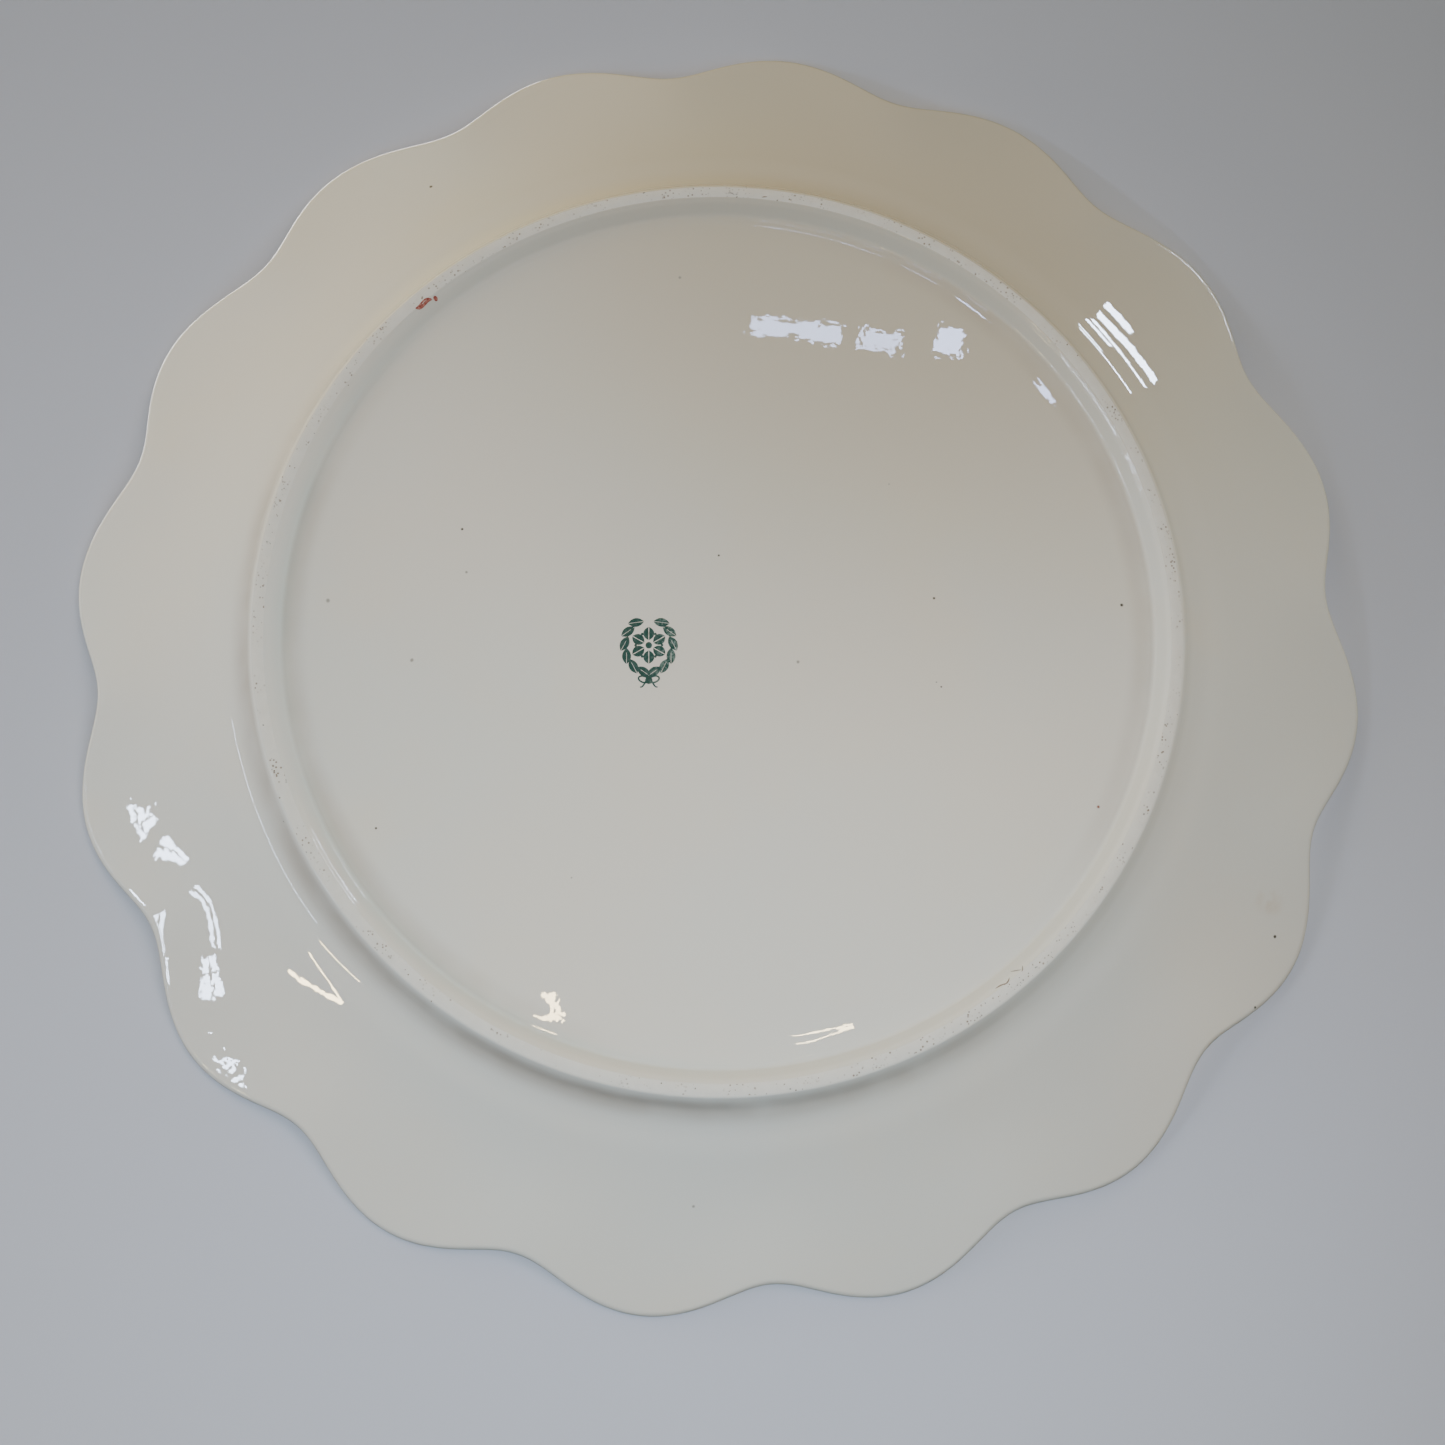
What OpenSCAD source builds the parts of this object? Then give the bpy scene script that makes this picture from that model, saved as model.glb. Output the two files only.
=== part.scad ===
// Round china serving platter with a sixteen-lobed rim, face up on its foot ring.
// The origin is the centre of the foot ring's ground seat, and +Z points out of the food face.

/* [Rim] */
// Radius over the tips of the lobes
rim_r = 133; // [125:1:145]
// Number of lobes round the edge
lobes = 16; // [8:2:24]
// Depth of the notch between two lobes
notch_depth = 6.8; // [3:0.1:9]
// Sharpness of the notches: 0 is an even wave, larger values narrow the notch
notch_pinch = 0.22; // [0:0.01:0.3]
// Height of the face at the lobe tips
rim_h = 27; // [22:0.5:32]
// Slope of the face at the edge, in degrees
rim_slope = 19; // [12:1:26]
// Wall thickness at the edge
lip_t = 2.2; // [1.6:0.1:3]

/* [Well and cavetto] */
// Radius of the flat floor of the well
well_r = 77; // [70:1:78]
// Height of the food face in the well
well_h = 6.8; // [5:0.1:9]
// Thickness of the floor and of the cavetto
wall_t = 3.6; // [2.8:0.1:4.5]
// Radius where the cavetto runs into the rim
cavetto_r = 101; // [98:1:106]
// Height of the face where the cavetto runs into the rim
cavetto_h = 13.6; // [11:0.1:15]
// Slope of the face where the cavetto runs into the rim, in degrees
cavetto_slope = 30; // [24:1:34]

/* [Foot ring] */
// Mean radius of the ground seat
seat_r = 88.3; // [87:0.1:91]
// Width of the ground seat
seat_w = 2.1; // [1.5:0.1:3]
// Height of the band that is left without glaze
seat_h = 0.8; // [0.4:0.1:1.2]
// Width of the sloping inner side of the ring
inner_w = 2.6; // [2:0.1:4]
// Width of the steep outer side of the ring
outer_w = 2.1; // [1:0.1:3]

/* [Backstamp] */
// Distance of the backstamp from the centre, towards -X
stamp_x = 13; // [0:0.5:30]
// Distance of the backstamp from the centre, towards +Y
stamp_y = 5.8; // [0:0.2:20]
// Turn of the backstamp about the centre line, in degrees
stamp_turn = -7; // [-20:1:20]
// Overall height of the backstamp
stamp_l = 13; // [8:0.5:20]
// Thickness of the print
stamp_t = 0.1; // [0.06:0.01:0.2]
// Leaves in the wreath of the backstamp
stamp_leaves = 12; // [6:2:18]

/* [Hidden] */
$fn = 96;
china = "#dad7cf";
glaze_pool = "#d3d8d2";
bare_china = "#cfc8b8";
print_green = "#3e5f58";
// Steps of a curved stretch of the section, and of one lobe of the edge
curve_steps = 12;
lobe_steps = 14;
// Radius of the join between the well and the cavetto
join_r = well_r + 4;
// Radius to which the foot ring's outer fillet reaches
heel_r = seat_r + seat_w / 2 + outer_w + 2.4;
// Radius to which the foot ring's inner fillet reaches
toe_r = seat_r - seat_w / 2 - inner_w - 1.2;
// Underside of the floor, which is raised off the table by this much
base_z = well_h - wall_t;
// Oval of the wreath: half width and half height, then the size of a leaf
wreath_rx = stamp_l * 0.36;
wreath_ry = stamp_l * 0.41;
leaf_l = stamp_l * 0.24;
leaf_w = stamp_l * 0.135;
// Angles of the first leaf, from one leaf to the next, and between a leaf and the oval
first_leaf = -58;
leaf_step = 136 / (stamp_leaves / 2 - 1);
leaf_lean = -24;
petal_l = stamp_l * 0.2;
petal_w = stamp_l * 0.165;
petals = 6;

// Cubic from height a to height b over a run w, with slopes ma and mb at its two ends
function hermite(t, a, b, ma, mb, w) =
    a * (2 * pow(t, 3) - 3 * pow(t, 2) + 1) + b * (3 * pow(t, 2) - 2 * pow(t, 3))
    + w * ma * (pow(t, 3) - 2 * pow(t, 2) + t) + w * mb * (pow(t, 3) - pow(t, 2));

// Height of the food face at radius r
function face_z(r) =
    r <= well_r ? well_h
    : r <= cavetto_r
    ? hermite((r - well_r) / (cavetto_r - well_r), well_h, cavetto_h, 0, tan(cavetto_slope), cavetto_r - well_r)
    : hermite((r - cavetto_r) / (rim_r - cavetto_r), cavetto_h, rim_h, tan(cavetto_slope), tan(rim_slope),
              rim_r - cavetto_r);

// Upright thickness of the wall at radius r: even to the cavetto, then thinner towards the edge
function wall(r) = r <= cavetto_r ? wall_t : wall_t + (lip_t - wall_t) * (r - cavetto_r) / (rim_r - cavetto_r);

// Height of the underside at radius r
function back_z(r) = face_z(r) - wall(r);

// Radii from a to b in even steps
function radii(a, b) = [for (i = [0:curve_steps]) a + (b - a) * i / curve_steps];

// Section of the wall between radii a and b: the underside outwards, then the face inwards
function wall_section(a, b) = concat(
    [for (r = radii(a, b)) [r, back_z(r)]],
    [for (r = radii(b, a)) [r, face_z(r)]]
);

// Radius of the edge at angle a: an even wave whose notches are narrower than its lobes
function edge_r(a) =
    let (wave = (1 - cos(lobes * a)) / 2)
    rim_r - notch_depth * (wave * (1 - notch_pinch) + notch_pinch * pow(wave, 3));

module edge_outline() {
    steps = lobes * lobe_steps;
    polygon([for (i = [0:steps - 1]) let (a = 360 * i / steps) edge_r(a) * [cos(a), sin(a)]]);
}

module well() {
    color(china)
        rotate_extrude()
            polygon(concat(
                [[0, base_z], [well_r, base_z]],
                [[join_r, back_z(join_r)], [join_r, face_z(join_r)]],
                [[(well_r + join_r) / 2, face_z((well_r + join_r) / 2)], [well_r, well_h], [0, well_h]]
            ));
}

module cavetto() {
    color(china)
        rotate_extrude()
            polygon(wall_section(join_r, cavetto_r));
}

module rim() {
    color(china)
        intersection() {
            rotate_extrude()
                polygon(wall_section(cavetto_r, rim_r + 1));
            linear_extrude(2 * rim_h)
                edge_outline();
        }
}

// The standing bead: a broad sloping inner side, a narrow crest and a steep outer side
module foot_ring() {
    crest_in = seat_r - seat_w / 2;
    crest_out = seat_r + seat_w / 2;
    color(glaze_pool)
        rotate_extrude()
            polygon(concat(
                [[toe_r, back_z(toe_r)]],
                [[crest_in - inner_w, base_z - 0.25], [crest_in - 0.62 * inner_w, base_z * 0.62]],
                [[crest_in - 0.25 * inner_w, base_z * 0.3], [crest_in, seat_h], [crest_out, seat_h]],
                [[crest_out + 0.5 * outer_w, base_z * 0.45], [crest_out + outer_w, base_z + 0.4]],
                [for (r = radii(heel_r, toe_r)) if (r > toe_r) [r, back_z(r)]]
            ));
}

module foot_seat() {
    color(bare_china)
        rotate_extrude()
            translate([seat_r - seat_w / 2, 0])
                square([seat_w, seat_h]);
}

// A pointed leaf along +Y: the overlap of two circles
module leaf(l, w) {
    arc_r = (l * l / 4 + w * w / 4) / w;
    translate([0, l / 2])
        intersection() {
            translate([arc_r - w / 2, 0])
                circle(arc_r);
            translate([w / 2 - arc_r, 0])
                circle(arc_r);
        }
}

// Puts a flat print on the underside of the floor
module on_base() {
    translate([-stamp_x, stamp_y, base_z - stamp_t])
        rotate(stamp_turn)
            linear_extrude(stamp_t)
                children();
}

// Two mirrored sprays of leaves, open at the top, that meet in a tie at the bottom
module backstamp_wreath() {
    side_leaves = stamp_leaves / 2;
    color(print_green)
        on_base() {
            for (side = [0, 1], i = [0:side_leaves - 1])
                let (a = first_leaf + i * leaf_step)
                mirror([side, 0])
                    translate([wreath_rx * cos(a), wreath_ry * sin(a)])
                        rotate(a + leaf_lean)
                            translate([0, -leaf_l / 2])
                                leaf(leaf_l, leaf_w);
            translate([0, wreath_ry + leaf_w])
                circle(leaf_w * 0.6);
        }
}

module backstamp_flower() {
    color(print_green)
        on_base() {
            circle(petal_w * 0.3);
            for (i = [0:petals - 1])
                rotate(180 + i * 360 / petals)
                    translate([0, petal_w * 0.48])
                        leaf(petal_l, petal_w);
        }
}

well();
cavetto();
rim();
foot_ring();
foot_seat();
backstamp_wreath();
backstamp_flower();
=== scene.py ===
# Looks of the china serving platter. It lies face down on a pale surface, as in its photograph, so the
# camera stands below the table plane of the shared frame and looks up at the foot ring.
import math

import bmesh
import bpy
import numpy as np
from mathutils import Matrix, Quaternion, Vector


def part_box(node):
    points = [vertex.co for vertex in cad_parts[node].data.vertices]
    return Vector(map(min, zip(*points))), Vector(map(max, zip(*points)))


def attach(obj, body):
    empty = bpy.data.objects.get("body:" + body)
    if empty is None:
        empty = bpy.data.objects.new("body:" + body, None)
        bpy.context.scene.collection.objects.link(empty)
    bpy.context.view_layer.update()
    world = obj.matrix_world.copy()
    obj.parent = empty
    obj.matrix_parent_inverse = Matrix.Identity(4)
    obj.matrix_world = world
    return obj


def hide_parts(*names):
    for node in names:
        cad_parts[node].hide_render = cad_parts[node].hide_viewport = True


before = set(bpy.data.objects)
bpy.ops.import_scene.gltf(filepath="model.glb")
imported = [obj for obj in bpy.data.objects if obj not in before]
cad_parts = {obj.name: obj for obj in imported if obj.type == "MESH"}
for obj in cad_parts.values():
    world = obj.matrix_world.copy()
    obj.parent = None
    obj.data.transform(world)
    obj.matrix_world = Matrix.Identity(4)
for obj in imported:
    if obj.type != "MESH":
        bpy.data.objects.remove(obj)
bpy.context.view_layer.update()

MM = 0.001
TAU = 2 * math.pi

# ---------------------------------------------------------------- sizes, in millimetres, from the frame
RIM_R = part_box("rim")[1].x / MM
RIM_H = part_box("rim")[1].z / MM
CAVETTO_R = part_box("cavetto")[1].x / MM
JOIN_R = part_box("well")[1].x / MM
BASE_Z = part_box("well")[0].z / MM
SEAT_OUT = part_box("foot_seat")[1].x / MM
HEEL_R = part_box("foot_ring")[1].x / MM

# Sizes that a box doesn't show, as part.scad has them
LOBES = 16
NOTCH_DEPTH, NOTCH_PINCH = 6.8, 0.22
WELL_R, WALL_T, LIP_T = JOIN_R - 4, 3.6, 2.2
WELL_H = BASE_Z + WALL_T
CAVETTO_H, CAVETTO_SLOPE, RIM_SLOPE = 13.6, math.tan(math.radians(30)), math.tan(math.radians(19))
SEAT_W, INNER_W, OUTER_W = 2.1, 2.6, 2.1
SEAT_IN = SEAT_OUT - SEAT_W
SEAT_MID = SEAT_OUT - SEAT_W / 2
TOE_R = SEAT_IN - INNER_W - 1.2

# The backstamp: its place, turn and height, the wreath with its leaves, and the flower with its petals
MARK_AT, MARK_TURN, MARK_L = (-13.0, 5.8), math.radians(-7), 13.0
WREATH_RX, WREATH_RY = MARK_L * 0.36, MARK_L * 0.41
LEAF_L, LEAF_W, SIDE_LEAVES = MARK_L * 0.24, MARK_L * 0.135, 6
FIRST_LEAF, LEAF_SPAN, LEAF_LEAN = -58, 136, 24      # degrees round the wreath, and off its line
PETAL_L, PETAL_W, PETALS = MARK_L * 0.2, MARK_L * 0.165, 6

# Soft shape that only the visible mesh has
FLUTE_DEPTH = 1.1        # how far the rim dips below its even slope behind each notch
FLUTE_START = 106        # radius where the flutes begin
SAG = 0.25               # how far the middle of the floor has sunk in the kiln
CREST_ROUND = 0.12       # how far the worn seat falls away at its two sides
LIP_REACH = 1.15 * (LIP_T / 2)       # how far the rounding of the lip reaches in from the edge
# Extra clay in the angle outside the ring, and how far it reaches
FILLET, FILLET_W = 0.9, 4.0
# Shallow hollow that the potter's tool left inside the ring: its depth, radius and half width
GROOVE, GROOVE_R, GROOVE_W = 0.08, 82.2, 3.4
# Slow unevenness of the fired body: how many waves, their lengths, and their height as a part of the length
WAVES, WAVE_LENGTHS, WAVE_HEIGHT = 14, (38, 95), 0.00022

# Fineness of the mesh
AROUND = 640             # columns round the platter
AXIS_R = 0.4             # radius of the innermost row
FINE_R = 76              # radius where the rows of the floor get closer together
BEAD_STEPS = 6           # rows between two knots of the standing bead
RIM_ROWS, LIP_ROWS = 37, 15


def hermite(t, a, b, ma, mb, w):
    """Cubic from height a to height b over a run w, with slopes ma and mb at its ends."""
    return (a * (2 * t**3 - 3 * t**2 + 1) + b * (3 * t**2 - 2 * t**3)
            + w * ma * (t**3 - 2 * t**2 + t) + w * mb * (t**3 - t**2))


def face_z(r):
    """Height of the food face at radius r."""
    wall = hermite(np.clip((r - WELL_R) / (CAVETTO_R - WELL_R), 0, 1),
                   WELL_H, CAVETTO_H, 0, CAVETTO_SLOPE, CAVETTO_R - WELL_R)
    rim = hermite((r - CAVETTO_R) / (RIM_R - CAVETTO_R),
                  CAVETTO_H, RIM_H, CAVETTO_SLOPE, RIM_SLOPE, RIM_R - CAVETTO_R)
    return np.where(r <= CAVETTO_R, wall, rim)


def wall_t(r):
    """Upright thickness of the wall at radius r."""
    thin = np.clip((r - CAVETTO_R) / (RIM_R - CAVETTO_R), 0, None)
    return WALL_T + (LIP_T - WALL_T) * thin


def back_z(r):
    """Height of the underside outside the foot ring, with a fillet in the angle beside the ring."""
    fillet = FILLET * np.clip(1 - (r - HEEL_R) / FILLET_W, 0, None) ** 2
    return face_z(r) - wall_t(r) - fillet


def notch_wave(a):
    """0 at the tip of a lobe and 1 at the bottom of a notch."""
    wave = (1 - np.cos(LOBES * a)) / 2
    return wave * (1 - NOTCH_PINCH) + NOTCH_PINCH * wave**3


def smooth(t):
    """Soft step from 0 to 1 as t goes from 0 to 1."""
    t = np.clip(t, 0, 1)
    return t * t * (3 - 2 * t)


# ---------------------------------------------------------------- one skin for the whole body
SEAT_IN_KNOT, SEAT_OUT_KNOT = 5, 7       # places of the seat's two ends in the list below


def foot_profile():
    """Knots of the standing bead's section, from its toe inside the ring to its heel outside."""
    return np.array([
        (TOE_R, float(BASE_Z)),
        (SEAT_IN - 0.98 * INNER_W, BASE_Z - 0.1),
        (SEAT_IN - 0.68 * INNER_W, BASE_Z * 0.68),
        (SEAT_IN - 0.36 * INNER_W, BASE_Z * 0.3),
        (SEAT_IN - 0.35, 0.4),
        (SEAT_IN, CREST_ROUND),
        (SEAT_MID, 0.0),
        (SEAT_OUT, CREST_ROUND),
        (SEAT_OUT + 0.45, 0.38),
        (SEAT_OUT + 0.5 * OUTER_W, BASE_Z * 0.41),
        (SEAT_OUT + 0.88 * OUTER_W, BASE_Z * 0.83),
        (SEAT_OUT + 1.36 * OUTER_W, BASE_Z * 1.27),
        (HEEL_R, float(back_z(HEEL_R))),
    ])


def catmull(points, steps):
    """Smooth curve through the points, with that many steps to a span."""
    p = np.vstack([2 * points[0] - points[1], points, 2 * points[-1] - points[-2]])
    out = []
    for i in range(1, len(p) - 2):
        for k in range(steps):
            t = k / steps
            a, b, c, d = p[i - 1], p[i], p[i + 1], p[i + 2]
            out.append(0.5 * (2 * b + (c - a) * t + (2 * a - 5 * b + 4 * c - d) * t**2
                              + (3 * b - a - 3 * c + d) * t**3))
    out.append(points[-1])
    return np.array(out)


class Skin:
    """Rows of points from the middle of the underside, over the lip, to the middle of the face.

    A row is a closed loop round the platter. marks names the rows where one zone ends and the next starts.
    """

    def __init__(self):
        self.rows = []
        self.marks = {}
        self.angle = np.arange(AROUND) * TAU / AROUND

    def mark(self, name):
        self.marks[name] = len(self.rows) - 1

    def ring(self, r, z):
        """Adds a row at radius r and height z, each a number or one value per column."""
        r = np.broadcast_to(np.asarray(r, float), self.angle.shape)
        z = np.broadcast_to(np.asarray(z, float), self.angle.shape)
        self.rows.append(np.stack([r * np.cos(self.angle), r * np.sin(self.angle), z], 1))

    def edge(self):
        """Radius of the scalloped edge, one value per column."""
        return RIM_R - NOTCH_DEPTH * notch_wave(self.angle)

    def flute(self, r):
        """How far the rim dips at radius r, one value per column."""
        reach = smooth((r - FLUTE_START) / (self.edge() - FLUTE_START))
        return -FLUTE_DEPTH * reach * notch_wave(self.angle)

    def add_base(self):
        """Underside of the floor."""
        for r in np.append(np.linspace(AXIS_R, FINE_R, 24), np.linspace(FINE_R + 0.6, TOE_R, 12)):
            hollow = GROOVE * smooth(1 - abs(r - GROOVE_R) / GROOVE_W)
            self.ring(r, BASE_Z - SAG * (1 - smooth(r / TOE_R)) + hollow)
        self.mark("toe")

    def add_bead(self):
        """The standing bead, whose crest is the ground seat."""
        bead = catmull(foot_profile(), BEAD_STEPS)
        for i, (r, z) in enumerate(bead[1:], start=1):
            self.ring(r, max(z, 0.0))
            if i == SEAT_IN_KNOT * BEAD_STEPS:
                self.mark("seat_in")
            if i == SEAT_OUT_KNOT * BEAD_STEPS:
                self.mark("seat_out")
        self.mark("heel")

    def add_cavetto_back(self):
        """Underside of the cavetto."""
        for r in np.linspace(HEEL_R, CAVETTO_R, 9)[1:]:
            self.ring(r, back_z(r))
        self.mark("cavetto_back")

    def add_rim(self):
        """Underside of the rim, the rounded lip, and the face of the rim."""
        inner = self.edge() - LIP_REACH
        for t in np.linspace(0, 1, RIM_ROWS)[1:]:
            r = CAVETTO_R + (inner - CAVETTO_R) * t
            self.ring(r, face_z(r) - wall_t(r) + self.flute(r))
        mid = face_z(inner) - wall_t(inner) / 2 + self.flute(inner)
        half = wall_t(inner) / 2
        slope = face_z(inner + 0.5) - face_z(inner - 0.5)
        for a in np.radians(np.linspace(-90, 90, LIP_ROWS)[1:-1]):
            out = LIP_REACH * math.cos(a)
            self.ring(inner + out, mid + half * math.sin(a) + slope * out)
        for t in np.linspace(1, 0, RIM_ROWS):
            r = CAVETTO_R + (inner - CAVETTO_R) * t
            self.ring(r, face_z(r) + self.flute(r))
        self.mark("cavetto_face")

    def add_face(self):
        """Face of the cavetto and of the well."""
        for r in np.linspace(CAVETTO_R, JOIN_R, 20)[1:]:
            self.ring(r, face_z(r))
        self.mark("join_face")
        for r in np.linspace(JOIN_R, AXIS_R, 30)[1:]:
            self.ring(r, face_z(r) - SAG * (1 - smooth(r / WELL_R)))


def waviness(p):
    """Slow unevenness of a hand-finished, kiln-fired body, in millimetres."""
    rng = np.random.default_rng(16)
    out = np.zeros(p.shape[:-1])
    for _ in range(WAVES):
        length = rng.uniform(*WAVE_LENGTHS)
        way = rng.uniform(0, TAU)
        phase = rng.uniform(0, TAU)
        along = p[..., 0] * math.cos(way) + p[..., 1] * math.sin(way)
        out += np.sin(TAU * along / length + phase) * length * WAVE_HEIGHT
    return out


def build_skin():
    """The skin, and its points and outward normals by row and column."""
    s = Skin()
    s.add_base()
    s.add_bead()
    s.add_cavetto_back()
    s.add_rim()
    s.add_face()
    grid = np.array(s.rows)
    # the unevenness leaves the seat and the tips of the lobes where the frame has them
    radius = np.hypot(grid[..., 0], grid[..., 1])
    free = smooth((80 - radius) / 20) + smooth((radius - 92) / 8) * smooth((126 - radius) / 10)
    grid[..., 2] += waviness(grid) * free
    down = np.gradient(grid, axis=0)
    turn = np.roll(grid, -1, 1) - np.roll(grid, 1, 1)
    normal = np.cross(turn, down)
    normal /= np.linalg.norm(normal, axis=2, keepdims=True)
    return s, grid, normal


# ---------------------------------------------------------------- mesh helpers
def new_object(name, verts, faces, material, normals=None):
    """A smooth mesh object, with its own normals where they are given."""
    mesh = bpy.data.meshes.new(name)
    mesh.from_pydata([tuple(v) for v in verts], [], faces)
    mesh.update()
    mesh.polygons.foreach_set("use_smooth", [True] * len(mesh.polygons))
    if normals is not None:
        mesh.normals_split_custom_set_from_vertices([tuple(n) for n in normals])
    mesh.materials.append(material)
    obj = bpy.data.objects.new(name, mesh)
    bpy.context.scene.collection.objects.link(obj)
    return obj


def lathe(name, rows, normals, material, closed):
    """Skins rows of points, each a loop round the platter. closed joins the last row to the first,
    and otherwise both ends are closed with a point on the axis."""
    count, around = rows.shape[:2]
    verts = list((rows * MM).reshape(-1, 3))
    norms = list(normals.reshape(-1, 3))
    faces = []
    last = count if closed else count - 1
    for i in range(last):
        a, b = i * around, ((i + 1) % count) * around
        for j in range(around):
            k = (j + 1) % around
            faces.append((a + j, a + k, b + k, b + j))
    if not closed:
        for row, flip in ((0, False), (count - 1, True)):
            tip = len(verts)
            verts.append(rows[row].mean(0) * MM)
            norms.append(normals[row].mean(0))
            for j in range(around):
                k = (j + 1) % around
                edge = (row * around + j, row * around + k)
                faces.append((tip, *edge[::-1]) if not flip else (tip, *edge))
    return new_object(name, verts, faces, material, norms)


# ---------------------------------------------------------------- materials
class Shader:
    """A material's node tree, with short calls for the nodes that the platter uses."""

    def __init__(self, name):
        self.mat = bpy.data.materials.new(name)
        self.mat.use_nodes = True
        self.nodes, self.links = self.mat.node_tree.nodes, self.mat.node_tree.links
        self.bsdf = self.nodes["Principled BSDF"]
        self.at = self.nodes.new("ShaderNodeTexCoord").outputs["Object"]
        split = self.nodes.new("ShaderNodeSeparateXYZ")
        self.links.new(self.at, split.inputs[0])
        self.x, self.y = split.outputs[:2]
        flat = self.nodes.new("ShaderNodeCombineXYZ")
        self.links.new(self.x, flat.inputs[0])
        self.links.new(self.y, flat.inputs[1])
        self.flat = flat.outputs[0]

    def put(self, socket, value):
        """Links an output to the socket, or sets the socket to a plain value."""
        if hasattr(value, "is_output"):
            self.links.new(value, socket)
        else:
            socket.default_value = value

    def math(self, kind, *values):
        node = self.nodes.new("ShaderNodeMath")
        node.operation = kind
        for socket, value in zip(node.inputs, values):
            self.put(socket, value)
        return node.outputs[0]

    def times(self, product, *values):
        for value in values:
            product = self.math("MULTIPLY", product, value)
        return product

    def distance(self, point):
        """Distance in the plane of the platter from a point given in millimetres."""
        node = self.nodes.new("ShaderNodeVectorMath")
        node.operation = "DISTANCE"
        self.put(node.inputs[0], self.flat)
        node.inputs[1].default_value = (point[0] * MM, point[1] * MM, 0)
        return node.outputs["Value"]

    def ramp(self, value, start, end, low=0.0, high=1.0):
        """Smooth change from low to high as value goes from start to end."""
        node = self.nodes.new("ShaderNodeMapRange")
        node.interpolation_type = "SMOOTHSTEP"
        for socket, v in zip(node.inputs, (value, start, end, low, high)):
            self.put(socket, v)
        return node.outputs[0]

    def band(self, start, full, fading, end):
        """1 between the radii full and fading, and 0 inside start and outside end, in millimetres."""
        node = self.nodes.new("ShaderNodeVectorMath")
        node.operation = "LENGTH"
        self.put(node.inputs[0], self.flat)
        r = node.outputs["Value"]
        return self.times(self.ramp(r, start * MM, full * MM), self.ramp(r, end * MM, fading * MM))

    def noise(self, size, detail=2.0, rough=0.5):
        """Noise whose features are about size millimetres across."""
        node = self.nodes.new("ShaderNodeTexNoise")
        self.put(node.inputs["Vector"], self.at)
        node.inputs["Scale"].default_value = 1 / (size * MM)
        node.inputs["Detail"].default_value = detail
        node.inputs["Roughness"].default_value = rough
        return node.outputs["Fac"]

    def cells(self, size):
        """Distance to the nearest point of a scatter about size millimetres apart, in point spacings."""
        node = self.nodes.new("ShaderNodeTexVoronoi")
        self.put(node.inputs["Vector"], self.at)
        node.inputs["Scale"].default_value = 1 / (size * MM)
        return node.outputs["Distance"]

    def mix(self, amount, a, b):
        """Colour a turning to colour b by amount."""
        node = self.nodes.new("ShaderNodeMix")
        node.data_type = "RGBA"
        self.put(node.inputs["Factor"], amount)
        for socket, colour in ((node.inputs[6], a), (node.inputs[7], b)):
            self.put(socket, colour if hasattr(colour, "is_output") else (*colour, 1))
        return node.outputs[2]

    def bump(self, height, strength, distance, normal=None):
        """Normal of a relief whose full height is distance millimetres, on top of another normal."""
        node = self.nodes.new("ShaderNodeBump")
        node.inputs["Strength"].default_value = strength
        node.inputs["Distance"].default_value = distance * MM
        self.put(node.inputs["Height"], height)
        if normal:
            self.put(node.inputs["Normal"], normal)
        return node.outputs[0]

    def underside(self):
        """1 where the surface faces down and 0 on the food face."""
        geometry = self.nodes.new("ShaderNodeNewGeometry")
        split = self.nodes.new("ShaderNodeSeparateXYZ")
        self.links.new(geometry.outputs["True Normal"], split.inputs[0])
        return self.math("LESS_THAN", split.outputs[2], 0.0)

    def finish(self, colour, roughness, normal):
        self.put(self.bsdf.inputs["Base Color"], colour)
        self.put(self.bsdf.inputs["Roughness"], roughness)
        self.put(self.bsdf.inputs["Normal"], normal)
        return self.mat


# Colours of the fired ware, and of painted shade
BODY_WARM, BODY_COOL, BODY_CREAM = (0.720, 0.690, 0.630), (0.690, 0.690, 0.655), (0.740, 0.690, 0.600)
# The first colour on the next line is a painted shade, not a colour of the ware
BODY_PAINTED_SHADE, GLAZE_POOL = (0.580, 0.530, 0.430), (0.600, 0.650, 0.620)
IRON, IRON_PALE, STAIN = (0.075, 0.065, 0.050), (0.34, 0.33, 0.29), (0.55, 0.40, 0.24)
ENAMEL_SPECK, ENAMEL_RED, ENAMEL_THIN = (0.200, 0.050, 0.025), (0.260, 0.035, 0.025), (0.480, 0.200, 0.160)
GROUND_CLAY, GROUND_PALE = (0.690, 0.675, 0.630), (0.720, 0.705, 0.660)
# The first colour on the next line is grime and painted shade round the foot ring
GRIME_AND_SHADE, KILN_DIRT, GRIT_GREY = (0.400, 0.350, 0.300), (0.200, 0.140, 0.090), (0.300, 0.290, 0.260)
INK, INK_WORN = (0.026, 0.072, 0.062), (0.200, 0.270, 0.245)
FLOOR_PAINT = (0.520, 0.545, 0.635)

# Middle of a painted shade that makes the body darker and warmer, and how near and how far from there it is
# full and gone; and a brown stain by the edge
SHADE_AT, SHADE_NEAR, SHADE_FAR = (26, -86), 28, 118
STAIN_AT = (115.3, 39.5)

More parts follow.
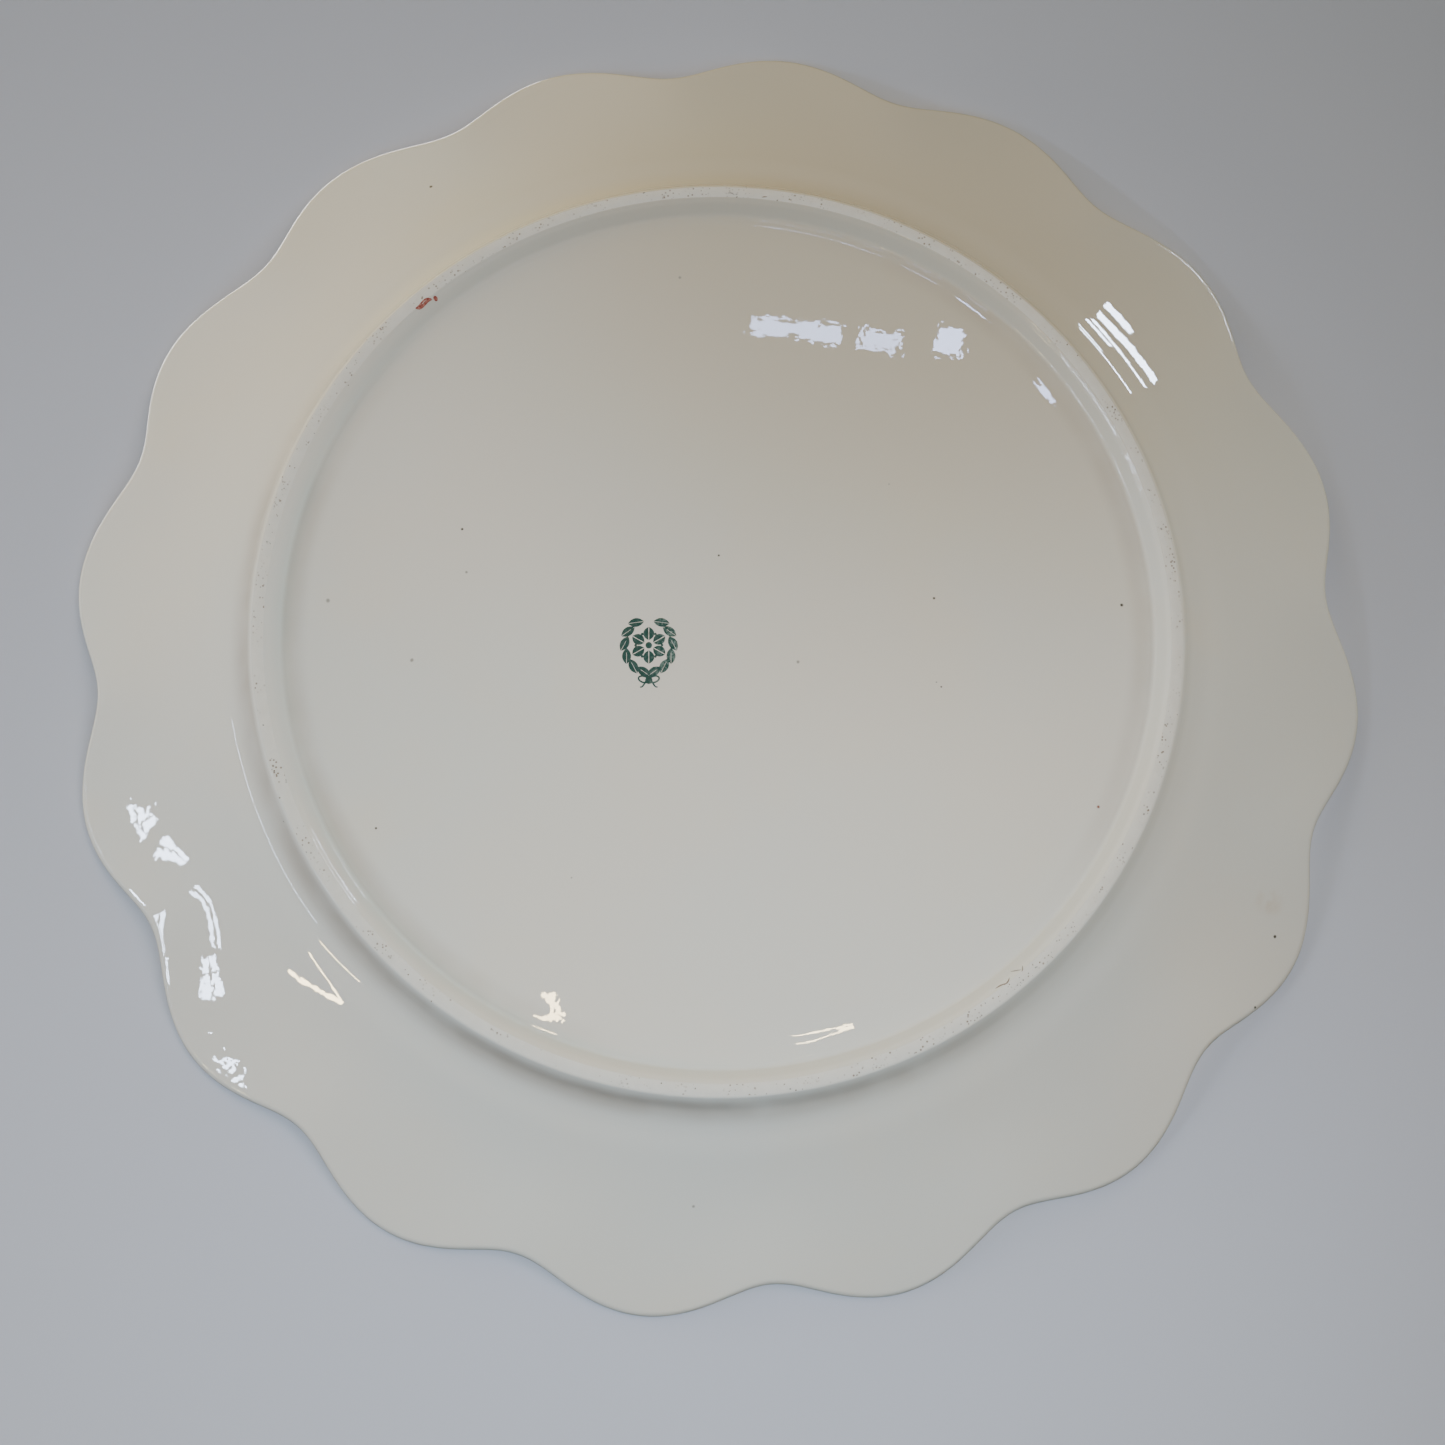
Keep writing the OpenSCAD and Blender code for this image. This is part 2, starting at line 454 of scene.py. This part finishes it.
# Specks fired into the glaze of the underside: place, radius in millimetres, colour
SPECKS = [
    ((-52, -13), 0.24, IRON), ((-50, -4.5), 0.30, IRON_PALE), ((-58, 14), 0.40, IRON_PALE),
    ((-60, 47), 0.25, IRON), ((-1.6, -13.6), 0.26, IRON), ((41, -10), 0.28, IRON), ((44, 7.3), 0.22, IRON),
    ((43, 6.5), 0.16, IRON_PALE), ((16, 5.7), 0.34, IRON_PALE), ((77.5, -13), 0.33, IRON),
    ((-16, -70), 0.32, IRON_PALE), ((76, 27), 0.36, ENAMEL_SPECK), ((117.4, 46.2), 0.38, IRON),
    ((114.6, 60.5), 0.26, IRON), ((8, 110.3), 0.34, IRON_PALE), ((-75.8, 4.2), 0.50, IRON_PALE),
    ((-71.6, -90.3), 0.36, IRON), ((30, -32), 0.20, IRON_PALE), ((-22, 52), 0.22, IRON_PALE),
]


def body_colour(s):
    """Warm white clay under clear glaze, with soft changes of tone, and a painted shade that makes one part
    darker and warmer.
    """
    tone = s.ramp(s.noise(70, 1.5), 0.35, 0.65)
    colour = s.mix(tone, BODY_WARM, BODY_COOL)
    cream = s.ramp(s.noise(28, 3.0), 0.50, 0.80, 0.0, 0.5)
    colour = s.mix(cream, colour, BODY_CREAM)
    # Painted shade: darker and warmer round one place, on both faces
    painted_shade = s.ramp(s.distance(SHADE_AT), SHADE_FAR * MM, SHADE_NEAR * MM, 0.0, 0.85)
    return s.mix(painted_shade, colour, BODY_PAINTED_SHADE)


def pooled_glaze(s):
    """How much glaze has pooled along the inner foot of the ring, most of it on the -X +Y side."""
    foot = s.band(TOE_R - 1.5, TOE_R + 1.2, SEAT_IN - 2.6, SEAT_IN - 0.6)
    side = s.ramp(s.math("SUBTRACT", s.times(s.y, 0.6), s.x), 0.0, 0.09, 0.08, 0.75)
    return s.times(foot, side)


def grime_and_shade(s):
    """How much grime and painted shade lie in the angle outside the ring, most on the +Y -X side, and how
    much painted shade lies faintly in the hollow inside it.
    """
    heel = s.band(SEAT_OUT + 0.3, SEAT_OUT + 1.8, SEAT_OUT + 2.2, HEEL_R + 2.0)
    low = s.ramp(s.math("SUBTRACT", s.y, s.times(s.x, 0.8)), -0.03, 0.08, 0.0, 0.85)
    hollow = s.band(GROOVE_R - 3.2, GROOVE_R, TOE_R + 0.4, TOE_R + 1.4)
    ends = s.math("ABSOLUTE", s.math("ADD", s.x, s.times(s.y, -0.45)))
    faint = s.ramp(ends, 0.035, 0.085, 0.0, 0.34)
    return s.math("ADD", s.times(heel, low), s.times(hollow, faint))


def china_material():
    """Clear glaze over warm white china: glaze pooled green in the angle inside the foot ring, a brown stain,
    a few fired-in specks, grime and painted shade round the foot ring, and the fine ripple that makes
    reflections crinkle."""
    s = Shader("glazed_china")
    under = s.underside()
    patchy = s.ramp(s.noise(14, 2.0), 0.2, 0.7, 0.4, 1.0)
    colour = s.mix(s.times(pooled_glaze(s), patchy, under), body_colour(s), GLAZE_POOL)
    stain = s.ramp(s.distance(STAIN_AT), 4.2 * MM, 0.5 * MM, 0.0, 0.34)
    colour = s.mix(s.times(stain, s.ramp(s.noise(3.5, 3.0), 0.3, 0.7), under), colour, STAIN)
    for place, size, tint in SPECKS:
        wobble = s.times(s.noise(0.9, 1.0), size * 1.1 * MM)
        spot = s.ramp(s.math("ADD", s.distance(place), wobble), size * 1.75 * MM, size * 0.95 * MM)
        colour = s.mix(s.times(spot, under), colour, tint)
    # Grime and painted shade: darker in the angle outside the ring, most on the +Y -X side, and faintly in
    # the hollow inside it
    colour = s.mix(s.times(grime_and_shade(s), patchy, under), colour, GRIME_AND_SHADE)
    rough = s.ramp(s.noise(9, 4.0), 0.3, 0.8, 0.006, 0.016)
    ripple = s.bump(s.noise(7.0, 1.0), 0.25, 0.05)
    orange_peel = s.bump(s.noise(1.25, 0.5), 0.5, 0.007, ripple)
    return s.finish(colour, rough, orange_peel)


def bare_material():
    """The ground seat of the foot ring: matt bare china, scratched by use, with dirt in its pores."""
    s = Shader("bare_china")
    dirty = s.times(s.ramp(s.cells(0.75), 0.34, 0.16), s.ramp(s.noise(6, 2.0), 0.46, 0.62))
    colour = s.mix(s.ramp(s.noise(2.2, 3.0), 0.35, 0.7), GROUND_CLAY, GROUND_PALE)
    colour = s.mix(s.times(dirty, 0.85), colour, KILN_DIRT)
    height = s.math("SUBTRACT", s.noise(0.35, 3.0), s.times(dirty, 1.2))
    return s.finish(colour, s.ramp(s.noise(1.5, 3.0), 0.3, 0.7, 0.42, 0.68), s.bump(height, 0.6, 0.08))


def ink_material():
    """Underglaze green of the backstamp, which has lost ink towards +X."""
    s = Shader("green_ink")
    thin = s.ramp(s.noise(0.55, 3.0), 0.42, 0.68)
    worn = s.ramp(s.x, -14 * MM, -7.5 * MM, 0.15, 0.85)
    colour = s.mix(s.times(thin, worn), INK, INK_WORN)
    return s.finish(colour, 0.08, s.bump(s.noise(0.4, 2.0), 0.2, 0.01))


def grit_material():
    s = Shader("kiln_grit")
    colour = s.mix(s.ramp(s.noise(2.4, 1.0), 0.4, 0.6), KILN_DIRT, GRIT_GREY)
    return s.finish(colour, 0.75, s.bump(s.noise(0.1, 2.0), 0.4, 0.02))


def enamel_material():
    s = Shader("red_enamel")
    colour = s.mix(s.ramp(s.noise(0.7, 2.0), 0.4, 0.65), ENAMEL_RED, ENAMEL_THIN)
    return s.finish(colour, 0.16, s.bump(s.noise(0.5, 2.0), 0.4, 0.03))


def floor_material():
    """Plain pale paint that shows from its front side only."""
    mat = bpy.data.materials.new("pale_floor")
    mat.use_nodes = True
    nodes, links = mat.node_tree.nodes, mat.node_tree.links
    bsdf = nodes["Principled BSDF"]
    bsdf.inputs["Base Color"].default_value = (*FLOOR_PAINT, 1)
    bsdf.inputs["Roughness"].default_value = 0.9
    clear = nodes.new("ShaderNodeBsdfTransparent")
    side = nodes.new("ShaderNodeNewGeometry")
    mix = nodes.new("ShaderNodeMixShader")
    links.new(side.outputs["Backfacing"], mix.inputs[0])
    links.new(bsdf.outputs[0], mix.inputs[1])
    links.new(clear.outputs[0], mix.inputs[2])
    links.new(mix.outputs[0], nodes["Material Output"].inputs["Surface"])
    return mat


# ---------------------------------------------------------------- the platter
skin, GRID, NORMAL = build_skin()
china = china_material()
bare = bare_material()
marks = skin.marks


def rows_at(r, z):
    """A hidden row inside the body at radius r and height z."""
    a = skin.angle
    return np.stack([r * np.cos(a), r * np.sin(a), np.full_like(a, z)], 1)[None]


def add_zone(name, node, spans, material, closed=True):
    """A closed piece from stretches of the skin, each given by its first and last row, and from hidden
    rows of points inside the body."""
    rows = np.concatenate([s if isinstance(s, np.ndarray) else GRID[s[0]:s[1] + 1] for s in spans])
    normals = np.concatenate([np.zeros_like(s) + (0, 0, 1) if isinstance(s, np.ndarray)
                              else NORMAL[s[0]:s[1] + 1] for s in spans])
    piece = lathe(name, rows, normals, material, closed)
    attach(piece, "root")
    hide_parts(node)
    return piece


SEAT_T = 0.5             # height of the hidden wall between the seat and the bead
LAST = len(GRID) - 1
TOE, HEEL = marks["toe"], marks["heel"]
SEAT_A, SEAT_B = marks["seat_in"], marks["seat_out"]
seat_top = np.concatenate([rows_at(SEAT_OUT, SEAT_T), rows_at(SEAT_IN, SEAT_T)])

add_zone("well_floor", "well", [(0, TOE), (marks["join_face"], LAST)], china, closed=False)
add_zone("cavetto_wall", "cavetto", [(TOE, TOE), (HEEL, marks["cavetto_back"]),
                                     (marks["cavetto_face"], marks["join_face"])], china)
add_zone("scalloped_rim", "rim", [(marks["cavetto_back"], marks["cavetto_face"])], china)
add_zone("foot_bead", "foot_ring", [(TOE, SEAT_A), seat_top[::-1], (SEAT_B, HEEL)], china)
add_zone("ground_seat", "foot_seat", [(SEAT_A, SEAT_B), seat_top], bare)


# ---------------------------------------------------------------- what lies on the underside
def underside_z(x, y):
    """Height of the underside at a point inside the rim, in millimetres."""
    column = round(math.atan2(y, x) / TAU * AROUND) % AROUND
    rows = GRID[:marks["cavetto_back"] + 1, column]
    return np.interp(math.hypot(x, y), np.hypot(rows[:, 0], rows[:, 1]), rows[:, 2])


def grain_shape():
    """Corners and faces of the ball that every grain of grit is bent from."""
    ball = bmesh.new()
    bmesh.ops.create_icosphere(ball, subdivisions=1, radius=1)
    verts = [np.array(v.co) for v in ball.verts]
    faces = [[v.index for v in f.verts] for f in ball.faces]
    ball.free()
    return verts, faces


GRAIN_VERTS, GRAIN_FACES = grain_shape()
SUNK = 0.06              # how deep the sides of a stroke reach into the surface


class Overlay:
    """Closed flat strokes and grains that lie on the underside. place maps a stroke's own points to the
    platter's (x, y), in millimetres."""

    def __init__(self, place=lambda x, y: (x, y)):
        self.place = place
        self.verts, self.faces = [], []

    def stroke(self, line, half_widths, relief=0.035):
        """A flat stroke along a line of points: sunk a little into the surface, and proud of it by relief."""
        line = np.array(line, float)
        along = np.gradient(line, axis=0)
        along /= np.linalg.norm(along, axis=1, keepdims=True) + 1e-9
        # across and down, over one cross-section of the stroke
        section = [(-1, SUNK), (-1, -0.3 * relief), (-0.6, -relief),
                   (0.6, -relief), (1, -0.3 * relief), (1, SUNK)]
        first, count = len(self.verts), len(section)
        for (px, py), (tx, ty), w in zip(line, along, half_widths):
            for across, rise in section:
                x, y = self.place(px - ty * w * across, py + tx * w * across)
                self.verts.append((x * MM, y * MM, (underside_z(x, y) + rise) * MM))
        for i in range(len(line) - 1):
            a = first + i * count
            for j in range(count):
                k = (j + 1) % count
                self.faces.append((a + j, a + count + j, a + count + k, a + k))
        self.faces.append(tuple(range(first, first + count)))
        self.faces.append(tuple(range(len(self.verts) - 1, len(self.verts) - 1 - count, -1)))

    def dot(self, x, y, radius):
        t = np.linspace(-0.97, 0.97, 9)
        self.stroke([(x + radius * k, y) for k in t], radius * np.sqrt(1 - t**2))

    def leaf(self, foot, turn, length, width, vein=0.07):
        """A pointed leaf from its foot, in two halves either side of a vein that is left clear."""
        along = np.array([-math.sin(turn), math.cos(turn)])
        across = np.array([math.cos(turn), math.sin(turn)])
        t = np.linspace(0, 1, 11)
        swell = np.maximum(width / 2 * np.sin(math.pi * t) ** 0.85 - vein / 2, 0.02)
        for side in (-1, 1):
            off = side * (vein / 2 + swell / 2)
            line = [np.array(foot) + along * length * k + across * o for k, o in zip(t, off)]
            self.stroke(line, swell / 2)

    def grain(self, x, y, size, rng):
        """A rough grain of grit, half sunk in the surface."""
        first = len(self.verts)
        stretch = size * rng.uniform(0.6, 1.3, 3) * (1, 1, 0.45)
        turn = rng.uniform(0, TAU)
        for v in GRAIN_VERTS:
            gx, gy, gz = v * stretch * rng.uniform(0.8, 1.2)
            px = x + gx * math.cos(turn) - gy * math.sin(turn)
            py = y + gx * math.sin(turn) + gy * math.cos(turn)
            self.verts.append((px * MM, py * MM, max(underside_z(x, y) + gz, 0) * MM))
        self.faces += [tuple(first + i for i in f) for f in GRAIN_FACES]

    def piece(self, name, material, slot, node=None):
        """Makes the object, which stands for a node where one is named."""
        obj = new_object(name, self.verts, self.faces, material)
        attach(obj, "root")
        if node:
            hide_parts(node)
        return obj


def on_mark(x, y):
    """From the backstamp's own frame, with +Y down the mark, to the platter's."""
    c, s = math.cos(MARK_TURN), math.sin(MARK_TURN)
    return MARK_AT[0] + x * c - y * s, MARK_AT[1] + x * s + y * c


def half_wreath(ink, side, knot_y):
    """A spray of leaves on a bent twig, with half of the bow, on the side -1 or 1 of the mark."""
    for i in range(SIDE_LEAVES):
        a = math.radians(FIRST_LEAF + i * LEAF_SPAN / (SIDE_LEAVES - 1))
        turn = a - math.radians(LEAF_LEAN)
        foot = (WREATH_RX * math.cos(a) + LEAF_L / 2 * math.sin(turn),
                WREATH_RY * math.sin(a) - LEAF_L / 2 * math.cos(turn))
        ink.leaf((side * foot[0], foot[1]), side * turn, LEAF_L, LEAF_W)
    arc = np.radians(np.linspace(-46, 84, 28))
    twig = [(side * WREATH_RX * 0.93 * math.cos(a), WREATH_RY * 0.93 * math.sin(a)) for a in arc]
    ink.stroke(twig, np.linspace(0.09, 0.17, len(twig)), relief=0.025)
    t = np.linspace(0.06, 0.94, 16) * TAU
    loop = [(side * 1.0 * (1 - math.cos(k)), knot_y + 0.62 * math.sin(k) - 0.2 * (1 - math.cos(k)))
            for k in t]
    ink.stroke(loop, np.full(len(t), 0.17))
    t = np.linspace(0.1, 1, 9)
    tail = [(side * 1.7 * k, knot_y + 1.3 * k - 0.25 * math.sin(k * TAU)) for k in t]
    ink.stroke(tail, np.linspace(0.2, 0.13, len(t)))


def wreath():
    """Two mirrored sprays of leaves, tied with a bow at the bottom of the mark."""
    ink = Overlay(on_mark)
    knot_y = WREATH_RY + LEAF_W * 0.9
    for side in (-1, 1):
        half_wreath(ink, side, knot_y)
    ink.dot(0, knot_y, LEAF_W * 0.42)
    return ink.piece("backstamp_wreath_print", green_ink, "green_print", "backstamp_wreath")


def flower():
    """A six-petalled flower in the middle of the wreath, with a dot between each two petals."""
    ink = Overlay(on_mark)
    ink.dot(0, 0, PETAL_W * 0.3)
    for i in range(PETALS):
        turn = math.pi + i * TAU / PETALS
        foot = (-math.sin(turn) * PETAL_W * 0.48, math.cos(turn) * PETAL_W * 0.48)
        ink.leaf(foot, turn, PETAL_L, PETAL_W, vein=0.1)
        between = turn + TAU / PETALS / 2
        ink.dot(-math.sin(between) * PETAL_L * 0.98, math.cos(between) * PETAL_L * 0.98, 0.27)
    return ink.piece("backstamp_flower_print", green_ink, "green_print", "backstamp_flower")


# Clusters of grit: the middle and the spread, in degrees, and how many grains; then how many lie anywhere
GRIT_CLUSTERS = [(44, 5, 26), (-94, 8, 22), (200, 14, 26), (78, 12, 14), (-120, 12, 10)]
LOOSE_GRAINS = 60
# Worn scratches: angle and radius of the start, then length along and towards the centre
SCRATCHES = [(45.6, 87.2, 2.3, 0.5), (44.9, 86.7, 1.7, -0.4), (43.2, 87.0, 1.6, 0.9),
             (42.7, 86.6, 0.9, -0.7), (-95.5, 88.0, 1.4, 0.3), (-91.0, 87.6, 1.1, -0.2)]


def kiln_grit():
    """Grains that stuck to the foot ring in the kiln, and dirt in the scratches beside them."""
    rng = np.random.default_rng(7)
    dirt = Overlay()
    angles = [rng.normal(a, spread) for a, spread, count in GRIT_CLUSTERS for _ in range(count)]
    angles += list(rng.uniform(0, 360, LOOSE_GRAINS))
    for a in np.radians(angles):
        r = rng.normal(SEAT_MID + 0.15, 0.75)
        dirt.grain(r * math.cos(a), r * math.sin(a), rng.uniform(0.07, 0.19), rng)
    for a, r, along, inward in SCRATCHES:
        t = np.linspace(0, 1, 7)
        bend = rng.uniform(-0.25, 0.25)
        turn = math.radians(a) + along / r * t
        radius = r - inward * t + bend * np.sin(math.pi * t)
        line = [(q * math.cos(k), q * math.sin(k)) for q, k in zip(radius, turn)]
        dirt.stroke(line, 0.11 * np.sin(math.pi * (0.1 + 0.8 * t)), relief=0.02)
    return dirt.piece("kiln_grit", grit, "bare_china")


def enamel_fleck():
    """A splash of red enamel on the inner side of the foot ring, with a drop beside it."""
    splash = Overlay()
    t = np.linspace(0, 1, 12)
    width = 0.45 * np.sin(math.pi * (0.04 + 0.92 * t)) ** 0.8
    smear = [(-67.0 + 2.9 * k, -55.9 - 2.6 * k + 0.25 * math.sin(7 * k)) for k in t]
    splash.stroke(smear, width, relief=0.06)
    splash.stroke([(-65.9 + 1.1 * k, -56.3 - 1.9 * k) for k in t], 0.5 * width, relief=0.05)
    splash.dot(-63.5, -58.7, 0.42)
    return splash.piece("enamel_fleck", red_enamel, "china")


green_ink = ink_material()
grit = grit_material()
red_enamel = enamel_material()
wreath()
flower()
kiln_grit()
enamel_fleck()

# ---------------------------------------------------------------- stage, from here on in metres
FLOOR_HALF = 12.0


def floor(name, z, up):
    """A camera-only plane at height z that shows from above when up is true, and from below otherwise."""
    h = FLOOR_HALF
    ring = [(-h, -h, z), (h, -h, z), (h, h, z), (-h, h, z)]
    obj = new_object(name, ring if up else ring[::-1], [(0, 1, 2, 3)], floor_material())
    obj.visible_shadow = False
    obj.visible_diffuse = False
    obj.visible_glossy = False
    obj.visible_transmission = False


floor("table_below", 0.0, True)
floor("table_lain_on", RIM_H * MM, False)

# The camera is below the platter, 10 degrees off its axis. PICTURE_TURN is the turn of the picture's right
# from +X, and -Y is up in the picture.
CAMERA_AT, LOOK_AT = Vector((4.9, 74.7, -318.4)) * MM, Vector((2.9, 19.7, 0)) * MM
PICTURE_TURN = math.radians(-6.7)
LENS, SENSOR = 42.35, 36


def add_camera():
    camera = bpy.data.cameras.new("camera")
    camera.lens, camera.sensor_width = LENS, SENSOR
    camera.clip_start, camera.clip_end = 0.01, 20
    obj = bpy.data.objects.new("camera", camera)
    bpy.context.scene.collection.objects.link(obj)
    back = (CAMERA_AT - LOOK_AT).normalized()
    up = back.cross(Vector((math.cos(PICTURE_TURN), math.sin(PICTURE_TURN), 0))).normalized()
    facing = Matrix((up.cross(back), up, back)).transposed()
    obj.matrix_world = Matrix.Translation(CAMERA_AT) @ facing.to_4x4()
    bpy.context.scene.camera = obj


# Broad soft lobes of the studio's light: azimuth and elevation in degrees, then colour. They are the same
# above the table plane and below it.
SKY_LOBES = [
    (190, 15, (1.30, 1.35, 1.45)),
    (225, 15, (1.30, 1.00, 0.30)),
    (330, 15, (0.70, 0.68, 0.48)),
]
LOBE_POWER = 5
BACKDROP = (0.34, 0.35, 0.38)


def aim(azimuth, elevation):
    """Direction at an azimuth, raised by an elevation, both in degrees."""
    a, e = math.radians(azimuth), math.radians(elevation)
    return math.cos(a) * math.cos(e), math.sin(a) * math.cos(e), math.sin(e)


def mirrored_direction(nodes, links):
    """Direction that a ray of the world comes from, with what is below the table folded up."""
    towards = nodes.new("ShaderNodeTexCoord").outputs["Generated"]
    fold = nodes.new("ShaderNodeVectorMath")
    fold.operation = "ABSOLUTE"
    links.new(towards, fold.inputs[0])
    split, split_fold = nodes.new("ShaderNodeSeparateXYZ"), nodes.new("ShaderNodeSeparateXYZ")
    join = nodes.new("ShaderNodeCombineXYZ")
    links.new(towards, split.inputs[0])
    links.new(fold.outputs[0], split_fold.inputs[0])
    links.new(split.outputs[0], join.inputs[0])
    links.new(split.outputs[1], join.inputs[1])
    links.new(split_fold.outputs[2], join.inputs[2])
    return join.outputs[0]


def studio_world():
    """The lobes as the world's light, and a plain pale backdrop that only the camera sees."""
    world = bpy.data.worlds.new("studio")
    world.use_nodes = True
    nodes, links = world.node_tree.nodes, world.node_tree.links
    direction = mirrored_direction(nodes, links)
    total = None
    for azimuth, elevation, colour in SKY_LOBES:
        dot = nodes.new("ShaderNodeVectorMath")
        dot.operation = "DOT_PRODUCT"
        links.new(direction, dot.inputs[0])
        dot.inputs[1].default_value = aim(azimuth, elevation)
        lobe = dot.outputs["Value"]
        for kind, value in (("MAXIMUM", 0), ("POWER", LOBE_POWER)):
            step = nodes.new("ShaderNodeMath")
            step.operation = kind
            links.new(lobe, step.inputs[0])
            step.inputs[1].default_value = value
            lobe = step.outputs[0]
        add = nodes.new("ShaderNodeVectorMath")
        add.operation = "MULTIPLY_ADD"
        links.new(lobe, add.inputs[0])
        add.inputs[1].default_value = colour
        if total:
            links.new(total, add.inputs[2])
        total = add.outputs[0]
    links.new(total, nodes["Background"].inputs["Color"])
    backdrop = nodes.new("ShaderNodeBackground")
    backdrop.inputs["Color"].default_value = (*BACKDROP, 1)
    mix = nodes.new("ShaderNodeMixShader")
    links.new(nodes.new("ShaderNodeLightPath").outputs["Is Camera Ray"], mix.inputs[0])
    links.new(nodes["Background"].outputs[0], mix.inputs[1])
    links.new(backdrop.outputs[0], mix.inputs[2])
    links.new(mix.outputs[0], nodes["World Output"].inputs["Surface"])
    bpy.context.scene.world = world


def area_light(name, at, size, power, colour, to=(0, 0, 0), shape="RECTANGLE"):
    """An area light at a place, facing another. size is its width and height."""
    light = bpy.data.lights.new(name, "AREA")
    light.shape = shape
    light.size, light.size_y = size
    light.energy, light.color = power, colour
    obj = bpy.data.objects.new(name, light)
    bpy.context.scene.collection.objects.link(obj)
    obj.location = at
    obj.rotation_mode = "QUATERNION"
    obj.rotation_quaternion = (Vector(at) - Vector(to)).to_track_quat("Z", "Y")
    return obj


def window(name, at, size, panes, colour, radiance, roll=0, bar=0.2):
    """A bright window of panes across and down, seen as a glint in the glaze. bar is the width of its glazing
    bars, as a part of a pane."""
    across, down = panes
    gap = bar * min(size[0] / across, size[1] / down) if across * down > 1 else 0
    pane = size[0] / across - gap, size[1] / down - gap
    power = radiance * math.pi * pane[0] * pane[1]
    turn = Vector(at).to_track_quat("Z", "Y") @ Quaternion((0, 0, 1), math.radians(roll))
    for i in range(across):
        for j in range(down):
            right = (i - (across - 1) / 2) * size[0] / across
            up = (j - (down - 1) / 2) * size[1] / down
            place = Vector(at) + turn @ Vector((right, up, 0))
            pane_obj = area_light(f"{name}_{i}_{j}", place, pane, power, colour)
            pane_obj.rotation_quaternion = turn


def soft_lamps():
    """Two lamps below the platter, which gloss doesn't show, and one above it."""
    below = [("key_below", (0.06, 0.12, -0.28), 0.52, (0.48, 0.79, 1.0), 125),
             ("fill_below", (0.12, 0.03, -0.35), 0.25, (1.0, 0.44, 0.06), 100)]
    for name, at, power, colour, spread in below:
        lamp = area_light(name, at, (0.3, 0.3), power, colour, to=(-0.08, 0.13, 0), shape="DISK")
        lamp.data.spread = math.radians(spread)
        lamp.visible_glossy = False
    area_light("key_above", (-0.5, -0.6, 1.1), (0.7, 0.7), 14.0, (0.95, 0.97, 1.0))


def glints():
    """Windows and lamps of the room that the glaze mirrors: name, place, size, panes, colour, radiance."""
    sky, pane, warm = (0.50, 0.62, 1.0), (0.65, 0.77, 1.0), (1.0, 0.80, 0.45)
    window("skylight_1", (0.026, -0.645, -1.353), (0.110, 0.018), (1, 1), sky, 34, roll=4)
    window("skylight_2", (0.117, -0.641, -1.351), (0.038, 0.020), (1, 1), sky, 34)
    window("skylight_3", (0.183, -0.642, -1.343), (0.032, 0.026), (1, 1), sky, 44, roll=12)
    window("skylight_4", (0.350, -0.653, -1.303), (0.035, 0.022), (1, 1), sky, 44, roll=40)
    window("window_left_1", (-1.428, 0.284, -0.662), (0.033, 0.034), (2, 2), pane, 85, roll=112)
    window("window_left_2", (-1.386, 0.357, -0.711), (0.060, 0.100), (2, 1), pane, 85, roll=115)
    window("window_left_3", (-1.238, 0.582, -0.814), (0.074, 0.300), (2, 1), pane, 70, roll=85, bar=0.4)
    window("window_left_4", (-1.151, 0.755, -0.815), (0.050, 0.063), (2, 2), pane, 85, roll=57)
    window("window_right_1", (1.002, -1.235, -0.112), (0.260, 0.050), (1, 1), pane, 75, roll=-12)
    window("window_right_2", (0.934, -1.285, -0.184), (0.105, 0.045), (1, 1), pane, 75, roll=-4)
    window("tube_lamp", (-1.165, 0.954, -0.530), (0.220, 0.022), (1, 1), warm, 100, roll=-21)
    window("row_left", (-1.67, 0.60, -0.31), (0.90, 0.03), (5, 1), pane, 30)
    window("lamp_1", (-0.170, 0.134, -1.585), (0.130, 0.016), (1, 1), warm, 90, roll=-45)
    window("lamp_2", (0.177, 0.163, -1.581), (0.085, 0.012), (1, 1), warm, 90, roll=-42)


add_camera()
studio_world()
soft_lamps()
glints()
